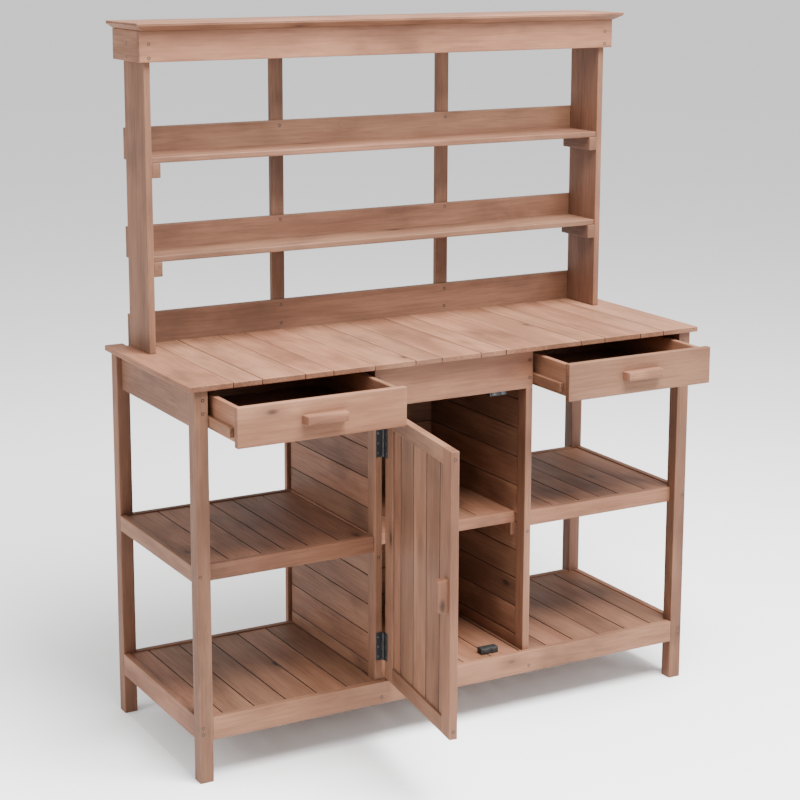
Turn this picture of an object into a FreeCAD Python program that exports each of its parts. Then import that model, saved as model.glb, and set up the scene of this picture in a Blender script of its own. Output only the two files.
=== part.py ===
import FreeCAD, Part
import os

# Potting bench: a base with two drawers, side shelves and a cupboard, and a hutch on top.
# Millimetres. X runs left to right seen from the front, Y from front to back, Z up.
# The sizes are laid out from the middle of the worktop's front edge, at floor level, with the
# drawers shut and the door shut. At the end the drawers and the door are moved to their rest
# places, and everything is moved so that the origin is the bottom centre of the whole bench.

Vector = FreeCAD.Vector

# Worktop
top_width = 1300.0
top_depth = 475.0
top_height = 870.0
top_thickness = 12.0
top_sections = 3
top_wide_board = 100.0
top_back_edge = 448.0
top_corner_tab = 43.0
board_gap = 1.0
top_batten_depth = 40.0
top_batten_height = 9.0
top_batten_inset = 62.0
top_batten_end_gap = 12.0

# Legs and cupboard posts
leg_size = 31.0
leg_side_inset = 15.0
leg_front_inset = 10.0
post_outer = 204.0
post_width = 17.5
post_front = 25.0
post_depth = 33.0
back_post_width = 44.0
post_bottom = 94.0

# Rails and aprons
apron_thickness = 15.0
apron_height = 87.0
side_apron_recess = 12.0
back_plane = 461.0
rail_thickness = 15.0
bottom_shelf_top = 145.0
bottom_rail_height = 51.0
mid_shelf_top = 477.5
mid_rail_height = 36.0
mid_rail_recess = 18.5
batten_size = 18.0
panel_drop = 3.0

# Shelf boards and cupboard walls
shelf_thickness = 12.0
shelf_board_sink = 2.5
bottom_board_pitch = 75.3
bottom_board_count = 15
bottom_first_board = 47.0
mid_wide_board = 76.0
wall_outer = 197.0
wall_thickness = 9.0
wall_board_pitch = 68.0
wall_lower_top = 444.0
wall_upper_bottom = 463.0
wall_back_gap = 7.0
cupboard_shelf_top = 468.0
cupboard_shelf_front = 68.0
cupboard_shelf_boards = 4
cupboard_strip_height = 26.0
cupboard_strip_depth = 16.0
cupboard_cleat_height = 30.0
cupboard_cleat_width = 10.0
cupboard_back_thickness = 12.0
cupboard_top_rail_height = 30.0
cupboard_top_rail_reach = 5.0

# Drawers
drawer_inner_end = 209.0
drawer_outer_end = 599.0
drawer_bottom_edge = 763.0
drawer_top_edge = 847.5
drawer_front_thickness = 15.0
drawer_side_inset = 6.5
drawer_side_thickness = 12.0
drawer_box_bottom = 770.0
drawer_box_top = 843.0
drawer_length = 360.0
drawer_base_thickness = 6.0
drawer_base_lift = 4.0
runner_reach = 10.5
runner_bottom = 780.0
runner_height = 20.0
runner_setback = 15.0
guide_clearance = 0.4
guide_height = 14.0
guide_side_gap = 1.5
drawer_end_gap = 2.0
left_drawer_out = 148.0
right_drawer_out = 137.0

# Door
door_gap = 3.5
door_thickness = 18.0
door_bottom = 150.0
door_top = 762.0
stile_width = 42.0
door_rail_height = 35.0
door_board_recess = 5.0
door_board_thickness = 9.0
door_board_pitch = 72.0
door_first_board = 39.0
door_open_angle = 98.0

# Bar handles
handle_length = 100.0
door_handle_length = 72.0
handle_height = 19.0
handle_reach = 22.0
handle_end_slope = 3.0
drawer_handle_centre = 807.0
door_handle_centre = 456.0

# Hinges and catches
hinge_height = 64.0
hinge_centres = (224.0, 690.0)
leaf_thickness = 1.6
leaf_width = 14.0
leaf_root_reach = 5.1
knuckle_radius = 3.4
pin_radius = 1.5
pin_clearance = 0.05
knuckle_gap = 0.3
lower_catch_centre = 111.0
upper_catch_centre = 125.0
catch_width = 45.0
catch_depth = 21.0
catch_height = 14.0
catch_gap = 0.5
strike_thickness = 1.0
strike_inset = 2.0
pole_width = 12.0
pole_spacing = 22.0
pole_inset = 2.0
pole_reach = 1.5

# Hutch
upright_outer = 599.0
upright_thickness = 15.0
upright_front = 333.0
hutch_top = 1575.0
hutch_apron_height = 67.0
hutch_apron_thickness = 14.0
hutch_rail_thickness = 13.0
hutch_rail_spans = ((1288.0, 1358.0), (1068.0, 1138.0), (862.0, 940.0))
slat_inner = 205.5
slat_width = 32.0
slat_bottom = 790.0
hutch_shelf_tops = (1303.0, 1086.0)
hutch_shelf_thickness = 13.0
hutch_shelf_setback = 3.0
cleat_width = 20.0
cleat_height = 32.0
cap_thickness = 17.0
cap_edge = 6.0
cap_side_overhang = 15.0
cap_front_overhang = 26.0
cap_bevel = 17.0

# Screws
shank_radius = 1.8
head_radius = 3.6
head_height = 3.0
head_depth = 0.7
long_screw = 50.0
short_screw = 28.0
apron_screws = (809.0, 837.0)
panel_screws = (793.0, 833.0)
bottom_screws = (110.0, 124.5)
mid_screw = 459.5
post_screw = 430.0
mid_side_screw = 463.0
mid_side_screw_setback = 34.0
slat_screws = (884.0, 927.0, 1129.0, 1346.0)
slat_screw_length = 26.0
hutch_apron_screws = (1517.0, 1547.0)
hutch_side_screw_length = 25.0
hutch_side_screw_setback = 60.0
door_screws = (167.0, 745.0)
hinge_screw_radius = 2.6
hinge_screw_shank = 1.5
hinge_screw_length = 13.0
hinge_screw_rise = 0.8
hinge_screw_place = 0.6
hinge_screw_spacing = 22.0

# Places that follow from the sizes above
top_underside = top_height - top_thickness
leg_outer = top_width / 2 - leg_side_inset
leg_inner = leg_outer - leg_size
leg_front = (leg_front_inset, leg_front_inset + leg_size)
leg_back = (top_depth - leg_size, top_depth)
apron_span = (top_underside - apron_height, top_underside)
side_rail_inner = leg_outer - rail_thickness
side_apron_outer = leg_outer - side_apron_recess
side_apron_inner = side_apron_outer - apron_thickness
post_inner = post_outer - post_width
post_back = post_front + post_depth
wall_inner = wall_outer - wall_thickness
cupboard_back = (back_plane - cupboard_back_thickness, back_plane)
panel_span = (apron_span[0] - panel_drop, top_underside)
front_rail = (leg_front_inset, post_front)
back_rail = (back_plane - apron_thickness, back_plane)
bottom_rail_span = (bottom_shelf_top - bottom_rail_height, bottom_shelf_top)
bottom_boards = (bottom_shelf_top - shelf_board_sink - shelf_thickness, bottom_shelf_top - shelf_board_sink)
mid_rail_span = (mid_shelf_top - mid_rail_height, mid_shelf_top)
mid_boards = (mid_shelf_top - shelf_board_sink - shelf_thickness, mid_shelf_top - shelf_board_sink)
mid_front_rail = (leg_front_inset + mid_rail_recess, leg_front_inset + mid_rail_recess + rail_thickness)
mid_back_rail = (top_depth - mid_rail_recess - rail_thickness, top_depth - mid_rail_recess)
hinge_axis_x = -post_inner + door_gap / 2
hinge_axis_y = post_front - knuckle_radius
door_half = post_inner - door_gap
door_back = post_front + door_thickness

bodies = {"bench": {}, "left_drawer": {}, "right_drawer": {}, "door": {}}
screws = {"bench": [], "door": []}


def box(x, y, z):
    """A box from three (low, high) spans."""
    size = (x[1] - x[0], y[1] - y[0], z[1] - z[0])
    return Part.makeBox(*size, Vector(x[0], y[0], z[0]))


def across(side, near, far):
    """The X span between two distances from the middle, on the left (-1) or the right (1)."""
    return (min(side * near, side * far), max(side * near, side * far))


def prism(corners, travel):
    """A solid swept from a flat outline."""
    outline = Part.makePolygon([Vector(*corner) for corner in corners + corners[:1]])
    return Part.Face(outline).extrude(Vector(*travel))


def add(body, name, *solids):
    """Keep one piece, or one group of separate pieces, under its name."""
    bodies[body][name] = solids[0] if len(solids) == 1 else Part.makeCompound(list(solids))


def strips(edges):
    """Spans of neighbouring boards between edge lines, each set back half a gap at its joints."""
    spans = []
    for low, high in zip(edges, edges[1:]):
        start = low if low == edges[0] else low + board_gap / 2
        end = high if high == edges[-1] else high - board_gap / 2
        spans.append((start, end))
    return spans


def edges_from(start, widths):
    """Edge lines of boards laid side by side."""
    lines = [start]
    for width in widths:
        lines.append(lines[-1] + width)
    return lines


def add_legs():
    for side, side_name in ((-1, "left"), (1, "right")):
        for span, end_name in ((leg_front, "front"), (leg_back, "back")):
            leg = box(across(side, leg_inner, leg_outer), span, (0, top_underside))
            add("bench", "leg_" + end_name + "_" + side_name, leg)


def front_post(side):
    """A cupboard post, cut back at the top for the centre panel."""
    post = box(across(side, post_inner, post_outer), (post_front, post_back), (post_bottom, top_underside))
    seat = box((-post_outer, post_outer), (post_front, post_front + apron_thickness), panel_span)
    return post.cut(seat)


def add_posts():
    add("bench", "cabinet_post_left", front_post(-1))
    add("bench", "cabinet_post_right", front_post(1))
    back = [
        box(across(side, post_outer - back_post_width, post_outer), (back_plane, top_depth),
            (post_bottom, top_underside))
        for side in (-1, 1)
    ]
    add("bench", "cabinet_back_posts", *back)


def add_aprons():
    sides = [
        box(across(side, side_apron_inner, side_apron_outer), (leg_front[1], leg_back[0]), apron_span)
        for side in (-1, 1)
    ]
    add("bench", "side_aprons", *sides)
    add("bench", "back_apron", box((-leg_inner, leg_inner), back_rail, apron_span))
    panel = box((-post_outer, post_outer), (post_front, post_front + apron_thickness), panel_span)
    add("bench", "centre_panel", panel)


def add_bottom_shelf():
    add("bench", "bottom_rail_front", box((-leg_inner, leg_inner), front_rail, bottom_rail_span))
    add("bench", "bottom_rail_back", box((-leg_inner, leg_inner), back_rail, bottom_rail_span))
    sides = [
        box(across(side, side_rail_inner, leg_outer), (leg_front[1], leg_back[0]), bottom_rail_span)
        for side in (-1, 1)
    ]
    add("bench", "bottom_side_rails", *sides)
    last_board = 2 * side_rail_inner - bottom_first_board - bottom_board_count * bottom_board_pitch
    widths = [bottom_first_board] + [bottom_board_pitch] * bottom_board_count + [last_board]
    boards = [
        box(span, (front_rail[1], back_rail[0]), bottom_boards)
        for span in strips(edges_from(-side_rail_inner, widths))
    ]
    add("bench", "bottom_shelf", *[clear_of_uprights(board) for board in boards])


def clear_of_uprights(board):
    """A shelf board notched round the legs and the cupboard posts that it meets."""
    bench = bodies["bench"]
    for name in ("leg_front_left", "leg_front_right", "leg_back_left", "leg_back_right",
                 "cabinet_post_left", "cabinet_post_right"):
        if board.BoundBox.intersect(bench[name].BoundBox):
            board = board.cut(bench[name])
    return board


def add_mid_shelf(side, side_name):
    """One side shelf: a frame of rails, two battens under the boards, and the boards."""
    clear = (mid_front_rail[1], mid_back_rail[0])
    frame = [
        box(across(side, side_rail_inner, leg_outer), (leg_front[1], leg_back[0]), mid_rail_span),
        box(across(side, post_outer, leg_inner), mid_front_rail, mid_rail_span),
        box(across(side, wall_outer, leg_inner), mid_back_rail, mid_rail_span),
        box(across(side, wall_outer, post_outer), (post_back, mid_back_rail[0]), mid_rail_span),
    ]
    batten_level = (mid_boards[0] - batten_size, mid_boards[0])
    for y in ((clear[0], clear[0] + batten_size), (clear[1] - batten_size, clear[1])):
        frame.append(box(across(side, post_outer, side_rail_inner), y, batten_level))
    add("bench", "mid_frame_" + side_name, *frame)
    narrow = (side_rail_inner - post_outer) / 2 - 2 * mid_wide_board
    widths = [mid_wide_board, mid_wide_board, narrow, narrow, mid_wide_board, mid_wide_board]
    spans = strips(edges_from(post_outer, widths))
    boards = [box(across(side, *span), clear, mid_boards) for span in spans]
    add("bench", "mid_shelf_" + side_name, *boards)


def wall_edges(bottom, top):
    """Joint lines of the cupboard's wall boards: one run below the shelf level, one above."""
    lines = [bottom]
    height = wall_lower_top - 4 * wall_board_pitch
    while height <= wall_lower_top:
        lines.append(height)
        height += wall_board_pitch
    height = wall_upper_bottom
    while height < top:
        lines.append(height)
        height += wall_board_pitch
    return lines + [top]


def add_cabinet_walls():
    heights = strips(wall_edges(bottom_boards[1], top_underside))
    depth = (post_back, back_plane - wall_back_gap)
    rear = [box((-leg_inner, leg_inner), back_rail, level) for level in (apron_span, bottom_rail_span)]
    for side, side_name in ((-1, "left"), (1, "right")):
        boards = [box(across(side, wall_inner, wall_outer), depth, height) for height in heights]
        add("bench", "cabinet_side_" + side_name, *[board.cut(rear) for board in boards])
    heights = strips(wall_edges(bottom_shelf_top, apron_span[0]))
    boards = [box((-wall_inner, wall_inner), cupboard_back, height) for height in heights]
    add("bench", "cabinet_back", *boards)
    rail_level = (panel_span[0], panel_span[0] + cupboard_top_rail_height)
    rail_depth = (post_front + apron_thickness, post_back + cupboard_top_rail_reach)
    add("bench", "cabinet_top_rail", box((-post_inner, post_inner), rail_depth, rail_level))


def add_cabinet_shelf():
    """Boards behind a deeper front strip, on a cleat along each wall."""
    level = (cupboard_shelf_top - shelf_thickness, cupboard_shelf_top)
    boards_front = cupboard_shelf_front + cupboard_strip_depth
    board_width = 2 * wall_inner / cupboard_shelf_boards
    boards = [
        box(span, (boards_front, cupboard_back[0]), level)
        for span in strips(edges_from(-wall_inner, [board_width] * cupboard_shelf_boards))
    ]
    strip_bottom = cupboard_shelf_top - cupboard_strip_height
    strip_depth = (cupboard_shelf_front, boards_front)
    strip = box((-wall_inner, wall_inner), strip_depth, (strip_bottom, cupboard_shelf_top))
    add("bench", "cabinet_shelf", *boards, strip)
    cleats = []
    for side in (-1, 1):
        span = across(side, wall_inner - cupboard_cleat_width, wall_inner)
        cleat_bottom = strip_bottom - cupboard_cleat_height
        nose = box(span, strip_depth, (cleat_bottom, strip_bottom))
        rest = box(span, (boards_front, cupboard_back[0]), (cleat_bottom, level[0]))
        cleats.append(joined(nose, rest))
    add("bench", "cabinet_shelf_cleats", *cleats)


def add_worktop():
    section = top_width / top_sections
    narrow = (section - 3 * top_wide_board) / 2
    widths = [top_wide_board, narrow, top_wide_board, narrow, top_wide_board]
    level = (top_underside, top_height)
    tab_back = (top_back_edge, top_depth)
    for index, name in enumerate(("left", "middle", "right")):
        start = -top_width / 2 + index * section
        boards = [box(span, (0, top_back_edge), level) for span in section_strips(start, widths)]
        tab = top_width / 2 - top_corner_tab
        if name == "left":
            boards[0] = joined(boards[0], box(across(-1, tab, top_width / 2), tab_back, level))
        if name == "right":
            boards[-1] = joined(boards[-1], box(across(1, tab, top_width / 2), tab_back, level))
        add("bench", "worktop_" + name, *boards)


def section_strips(start, widths):
    """Board spans of one worktop section, with half a gap at each end where it meets the next."""
    edges = edges_from(start, widths)
    spans = strips(edges)
    if start > -top_width / 2:
        spans[0] = (edges[0] + board_gap / 2, spans[0][1])
    if edges[-1] < top_width / 2 - board_gap:
        spans[-1] = (spans[-1][0], edges[-1] - board_gap / 2)
    return spans


def joined(first, second):
    """One solid from two that share a face."""
    return first.fuse(second).removeSplitter()


def add_battens():
    """Battens that hold the worktop sections and the bottom shelf boards together from below."""
    solids = []
    section = top_width / top_sections
    level = (top_underside - top_batten_height, top_underside)
    for index in range(top_sections):
        start = -top_width / 2 + index * section
        low = max(start + top_batten_end_gap, -side_apron_inner)
        high = min(start + section - top_batten_end_gap, side_apron_inner)
        for y in (top_batten_inset, top_back_edge - top_batten_inset - top_batten_depth):
            for span in clear_of_walls(low, high):
                solids.append(box(span, (y, y + top_batten_depth), level))
    level = (bottom_boards[0] - batten_size, bottom_boards[0])
    for y in (front_rail[1], back_rail[0] - batten_size):
        batten = box((-leg_inner, leg_inner), (y, y + batten_size), level)
        solids.extend(clear_of_uprights(batten).Solids)
    add("bench", "support_battens", *solids)


def clear_of_walls(low, high):
    """A batten's X span, cut short or split so that it misses the cupboard's side walls."""
    spans = [(low, high)]
    for side in (-1, 1):
        wall = across(side, wall_inner, post_outer)
        split = []
        for start, end in spans:
            split.append((start, min(end, wall[0])))
            split.append((max(start, wall[1]), end))
        spans = [(start, end) for start, end in split if end - start > top_batten_depth]
    return spans


def add_drawer_guides():
    """Ledges that the drawers' runners slide on."""
    level = (runner_bottom - guide_clearance - guide_height, runner_bottom - guide_clearance)
    runner_inner = drawer_outer_end - drawer_side_inset
    inner_side = drawer_inner_end + drawer_side_inset - guide_side_gap
    front = post_front + drawer_front_thickness + drawer_end_gap
    guides = []
    for side in (-1, 1):
        outer = across(side, runner_inner + guide_side_gap, side_apron_inner)
        guides.append(box(outer, (front, leg_back[0]), level))
        guides.append(box(across(side, post_outer, inner_side), (front, back_rail[0]), level))
    add("bench", "drawer_guides", *guides)


def add_drawer(side, body):
    """One drawer in its shut place: front, box, base, runners and handle."""
    front_y = (post_front, post_front + drawer_front_thickness)
    outer = drawer_outer_end - drawer_side_inset
    inner = drawer_inner_end + drawer_side_inset
    depth = (front_y[1], front_y[1] + drawer_length)
    level = (drawer_box_bottom, drawer_box_top)
    front_level = (drawer_bottom_edge, drawer_top_edge)
    front = box(across(side, drawer_inner_end, drawer_outer_end), front_y, front_level)
    walls = [
        box(across(side, outer - drawer_side_thickness, outer), depth, level),
        box(across(side, inner, inner + drawer_side_thickness), depth, level),
        box(across(side, inner + drawer_side_thickness, outer - drawer_side_thickness),
            (depth[1] - drawer_side_thickness, depth[1]), level),
    ]
    base_level = (level[0] + drawer_base_lift, level[0] + drawer_base_lift + drawer_base_thickness)
    base = box(across(side, inner + drawer_side_thickness, outer - drawer_side_thickness),
               (depth[0], depth[1] - drawer_side_thickness), base_level)
    runner_level = (runner_bottom, runner_bottom + runner_height)
    runner_depth = (depth[0] + runner_setback, depth[1])
    runners = [
        box(across(side, outer, outer + runner_reach), runner_depth, runner_level),
        box(across(side, inner - runner_reach, inner), runner_depth, runner_level),
    ]
    add(body, body + "_front", front)
    add(body, body + "_box", *walls)
    add(body, body + "_base", base)
    add(body, body + "_runners", *runners)
    middle = side * (drawer_inner_end + drawer_outer_end) / 2
    add(body, body + "_handle", drawer_handle(middle))


def handle_outline(length):
    """Half lengths of a bar handle at its foot and at its face."""
    return length / 2, length / 2 - handle_end_slope


def drawer_handle(middle):
    foot, face = handle_outline(handle_length)
    bottom = drawer_handle_centre - handle_height / 2
    near = post_front - handle_reach
    corners = [
        (middle - foot, post_front, bottom),
        (middle + foot, post_front, bottom),
        (middle + face, near, bottom),
        (middle - face, near, bottom),
    ]
    return prism(corners, (0, 0, handle_height))


def door_handle():
    foot, face = handle_outline(door_handle_length)
    left = door_half - stile_width / 2 - handle_height / 2
    near = post_front - handle_reach
    corners = [
        (left, post_front, door_handle_centre - foot),
        (left, post_front, door_handle_centre + foot),
        (left, near, door_handle_centre + face),
        (left, near, door_handle_centre - face),
    ]
    return prism(corners, (handle_height, 0, 0))


def add_door():
    """The door in its shut place: frame, boards in the frame and handle."""
    depth = (post_front, door_back)
    inner = door_half - stile_width
    stiles = [box(across(side, inner, door_half), depth, (door_bottom, door_top)) for side in (-1, 1)]
    rails = [
        box((-inner, inner), depth, (door_bottom, door_bottom + door_rail_height)),
        box((-inner, inner), depth, (door_top - door_rail_height, door_top)),
    ]
    add("door", "door_frame", *stiles, *rails)
    lines = [-inner, -inner + door_first_board]
    while lines[-1] + door_board_pitch < inner:
        lines.append(lines[-1] + door_board_pitch)
    front = post_front + door_board_recess
    height = (door_bottom + door_rail_height, door_top - door_rail_height)
    boards = [box(span, (front, front + door_board_thickness), height) for span in strips(lines + [inner])]
    add("door", "door_boards", *boards)
    add("door", "door_handle", door_handle())


def tube(low, high, bore):
    """One knuckle of a hinge."""
    centre = Vector(hinge_axis_x, hinge_axis_y, low)
    outside = Part.makeCylinder(knuckle_radius, high - low, centre)
    return outside.cut(Part.makeCylinder(bore, high - low, centre))


def hinge_leaf(side, low, high, knuckles, bore):
    """A leaf on the post (-1) or on the door (1), with its share of the knuckles."""
    leaf_x = across(side, 0, leaf_width + knuckle_radius)
    span = (leaf_x[0] + hinge_axis_x, leaf_x[1] + hinge_axis_x)
    leaf = box(span, (post_front - leaf_thickness, post_front), (low, high))
    barrel_room = Part.makeCylinder(knuckle_radius + knuckle_gap, high - low,
                                    Vector(hinge_axis_x, hinge_axis_y, low))
    pin_room = Part.makeCylinder(bore, high - low, Vector(hinge_axis_x, hinge_axis_y, low))
    leaf = leaf.cut(barrel_room)
    for start, end in knuckles:
        root_x = across(side, 0, leaf_root_reach)
        root = box((root_x[0] + hinge_axis_x, root_x[1] + hinge_axis_x),
                   (post_front - leaf_thickness, post_front), (start, end))
        leaf = leaf.fuse(tube(start, end, bore)).fuse(root.cut(pin_room))
    return leaf.removeSplitter()


def add_hinges():
    fixed = []
    moving = []
    pins = []
    for centre in hinge_centres:
        low = centre - hinge_height / 2
        high = centre + hinge_height / 2
        third = hinge_height / 3
        outer_knuckles = ((low, low + third), (high - third, high))
        middle_knuckle = ((low + third + knuckle_gap, high - third - knuckle_gap),)
        fixed.append(hinge_leaf(-1, low, high, outer_knuckles, pin_radius))
        moving.append(hinge_leaf(1, low, high, middle_knuckle, pin_radius + pin_clearance))
        pins.append(Part.makeCylinder(pin_radius, hinge_height, Vector(hinge_axis_x, hinge_axis_y, low)))
        add_hinge_screws(centre)
    add("bench", "hinge_leaves_post", *fixed)
    add("bench", "hinge_pins", *pins)
    add("door", "hinge_leaves_door", *moving)


def add_hinge_screws(centre):
    reach = knuckle_radius + leaf_width * hinge_screw_place
    for body, side in (("bench", -1), ("door", 1)):
        for step in (-1, 0, 1):
            x = hinge_axis_x + side * reach
            z = centre + step * hinge_screw_spacing
            screws[body].append(hinge_screw((x, post_front - leaf_thickness, z)))


def hinge_screw(point):
    """A flat-headed screw that stands a little proud of its leaf."""
    face = Vector(*point)
    inward = Vector(0, 1, 0)
    head = Part.makeCylinder(hinge_screw_radius, hinge_screw_rise, face - inward * hinge_screw_rise, inward)
    shank = Part.makeCylinder(hinge_screw_shank, hinge_screw_length, face, inward)
    return joined(head, shank), shank


def wood_screw(point, inward, length):
    """A countersunk screw sunk just below the face, and the hole that it sits in."""
    face = Vector(*point)
    way = Vector(*inward)
    seat = face + way * head_depth
    head = Part.makeCone(head_radius, shank_radius, head_height, seat, way)
    shank = Part.makeCylinder(shank_radius, length - head_height, seat + way * head_height, way)
    mouth = Part.makeCylinder(head_radius, head_depth, face, way)
    solid = joined(head, shank)
    return solid, joined(mouth, solid)


def add_catches():
    """Magnetic catches on the cupboard's floor and under its top rail, and their strike plates."""
    upper_level = bodies["bench"]["cabinet_top_rail"].BoundBox.ZMin - catch_height
    front = door_back + strike_thickness + catch_gap
    cases = []
    strikes = []
    places = ((lower_catch_centre, bottom_boards[1]), (upper_catch_centre, upper_level))
    for middle, low in places:
        span = (middle - catch_width / 2, middle + catch_width / 2)
        high = low + catch_height
        case = box(span, (front + pole_reach, front + catch_depth), (low, high))
        for side in (-1, 1):
            centre = middle + side * pole_spacing / 2
            pole = (centre - pole_width / 2, centre + pole_width / 2)
            case = case.fuse(box(pole, (front, front + pole_reach), (low + pole_inset, high - pole_inset)))
        cases.append(case.removeSplitter())
        strike = (max(low, door_bottom) + pole_inset, min(high, door_top) - pole_inset)
        plate = (span[0] + strike_inset, span[1] - strike_inset)
        strikes.append(box(plate, (door_back, door_back + strike_thickness), strike))
    add("bench", "door_catches", *cases)
    add("door", "door_strikes", *strikes)


def add_hutch_uprights():
    for side, side_name in ((-1, "left"), (1, "right")):
        span = across(side, upright_outer - upright_thickness, upright_outer)
        upright = box(span, (upright_front, top_back_edge), (top_height, hutch_top))
        add("bench", "hutch_upright_" + side_name, upright)
    level = (slat_bottom, hutch_top)
    slats = [
        box(across(side, slat_inner, slat_inner + slat_width), (back_plane, top_depth), level)
        for side in (-1, 1)
    ]
    add("bench", "hutch_slats", *slats)


def add_hutch_shelves():
    depth = (top_back_edge, top_back_edge + hutch_rail_thickness)
    for name, level in zip(("upper", "middle", "lower"), hutch_rail_spans):
        add("bench", "hutch_rail_" + name, box((-upright_outer, upright_outer), depth, level))
    inner = upright_outer - upright_thickness
    cleats = []
    for name, top in zip(("upper", "lower"), hutch_shelf_tops):
        level = (top - hutch_shelf_thickness, top)
        shelf = box((-inner, inner), (upright_front + hutch_shelf_setback, top_back_edge), level)
        add("bench", "hutch_shelf_" + name, shelf)
        for side in (-1, 1):
            span = across(side, inner - cleat_width, inner)
            cleats.append(box(span, (upright_front, top_back_edge), (level[0] - cleat_height, level[0])))
    add("bench", "hutch_shelf_cleats", *cleats)


def rectangle(x, y, z):
    corners = [(x[0], y[0], z), (x[1], y[0], z), (x[1], y[1], z), (x[0], y[1], z)]
    return Part.makePolygon([Vector(*corner) for corner in corners + corners[:1]])


def add_hutch_top():
    """Aprons round the top of the uprights, and the cap board with its sloping lower edge."""
    apron_outer = upright_outer + hutch_apron_thickness
    apron_front = upright_front - hutch_apron_thickness
    level = (hutch_top - hutch_apron_height, hutch_top)
    front = box((-apron_outer, apron_outer), (apron_front, upright_front), level)
    sides = [
        box(across(side, upright_outer, apron_outer), (upright_front, top_depth), level)
        for side in (-1, 1)
    ]
    add("bench", "hutch_aprons", front, *sides)
    reach_x = apron_outer + cap_side_overhang
    reach_y = apron_front - cap_front_overhang
    widest = hutch_top + cap_thickness - cap_edge
    low = rectangle((cap_bevel - reach_x, reach_x - cap_bevel), (reach_y + cap_bevel, top_depth), hutch_top)
    high = rectangle((-reach_x, reach_x), (reach_y, top_depth), widest)
    sloping = Part.makeLoft([low, high], True, True)
    board = box((-reach_x, reach_x), (reach_y, top_depth), (widest, hutch_top + cap_thickness))
    add("bench", "hutch_cap", joined(sloping, board))


def add_frame_screws():
    """Screws in the legs, the posts, the hutch and the door's edges."""
    for side in (-1, 1):
        leg_screws(side)
        front_screws(side)
        hutch_screws(side)
        for z in door_screws:
            point = (side * door_half, (post_front + door_back) / 2, z)
            screws["door"].append(wood_screw(point, (-side, 0, 0), long_screw))


def leg_screws(side):
    """Through the legs' front, back and outer faces into the rails and side aprons."""
    bench = screws["bench"]
    apron_x = side * (side_apron_inner + side_apron_outer) / 2
    rail_x = side * (leg_outer - rail_thickness / 2)
    for y, way in ((leg_front_inset, 1), (top_depth, -1)):
        for z in apron_screws:
            bench.append(wood_screw((apron_x, y, z), (0, way, 0), long_screw))
        for z in bottom_screws + (mid_screw,):
            bench.append(wood_screw((rail_x, y, z), (0, way, 0), long_screw))
    side_points = [(y, sum(bottom_rail_span) / 2) for y in (sum(front_rail) / 2, sum(back_rail) / 2)]
    setbacks = (mid_side_screw_setback, top_depth - mid_side_screw_setback + rail_thickness)
    side_points += [(y, mid_side_screw) for y in setbacks]
    for y, z in side_points:
        bench.append(wood_screw((side * leg_outer, y, z), (-side, 0, 0), long_screw))


def front_screws(side):
    """Through the bottom rail and the centre panel into the posts, and through each post."""
    bench = screws["bench"]
    post_x = side * (post_outer - post_width / 2)
    for z in panel_screws:
        bench.append(wood_screw((post_x, post_front, z), (0, 1, 0), short_screw))
    bench.append(wood_screw((post_x, post_front, post_screw), (0, 1, 0), short_screw))
    bench.append(wood_screw((post_x, leg_front_inset, bottom_screws[0]), (0, 1, 0), short_screw))


def hutch_screws(side):
    """Through the back rails into the slats, and through the hutch's aprons into its uprights."""
    bench = screws["bench"]
    slat_x = side * (slat_inner + slat_width / 2)
    for z in slat_screws:
        bench.append(wood_screw((slat_x, top_back_edge, z), (0, 1, 0), slat_screw_length))
    upright_x = side * (upright_outer - upright_thickness / 2)
    apron_face = upright_front - hutch_apron_thickness
    side_x = side * (upright_outer + hutch_apron_thickness)
    side_y = upright_front + hutch_side_screw_setback
    for z in hutch_apron_screws:
        bench.append(wood_screw((upright_x, apron_face, z), (0, 1, 0), short_screw))
        bench.append(wood_screw((side_x, side_y, z), (-side, 0, 0), hutch_side_screw_length))


def sink_screws(body, name):
    """Cut every screw's hole in the pieces that it goes through, and keep the screws."""
    pieces = bodies[body]
    for solid, hole in screws[body]:
        for piece_name, piece in pieces.items():
            if piece.BoundBox.intersect(hole.BoundBox):
                pieces[piece_name] = piece.cut(hole)
    add(body, name, *[solid for solid, hole in screws[body]])


def build():
    """Make every piece in its shut place."""
    add_legs()
    add_posts()
    add_aprons()
    add_bottom_shelf()
    for side, side_name in ((-1, "left"), (1, "right")):
        add_mid_shelf(side, side_name)
        add_drawer(side, side_name + "_drawer")
    add_cabinet_walls()
    add_cabinet_shelf()
    add_worktop()
    add_battens()
    add_drawer_guides()
    add_door()
    add_hinges()
    add_catches()
    add_hutch_uprights()
    add_hutch_shelves()
    add_hutch_top()
    add_frame_screws()
    sink_screws("bench", "frame_screws")
    sink_screws("door", "door_screws")


def open_up():
    """Move the drawers and the door from their shut places to their rest places."""
    for body, travel in (("left_drawer", left_drawer_out), ("right_drawer", right_drawer_out)):
        for shape in bodies[body].values():
            shape.translate(Vector(0, -travel, 0))
    for shape in bodies["door"].values():
        shape.rotate(Vector(hinge_axis_x, hinge_axis_y, 0), Vector(0, 0, 1), -door_open_angle)


def centre_and_export():
    """Move the bench over the origin and write one file for each piece."""
    pieces = {name: shape for body in bodies.values() for name, shape in body.items()}
    bounds = FreeCAD.BoundBox()
    for shape in pieces.values():
        bounds.add(shape.optimalBoundingBox())
    shift = Vector(-bounds.Center.x, -bounds.Center.y, -bounds.ZMin)
    os.makedirs("parts", exist_ok=True)
    for name, shape in pieces.items():
        shape.translate(shift)
        shape.exportStep("parts/" + name + ".step")


build()
open_up()
centre_and_export()
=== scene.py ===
import math

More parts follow.
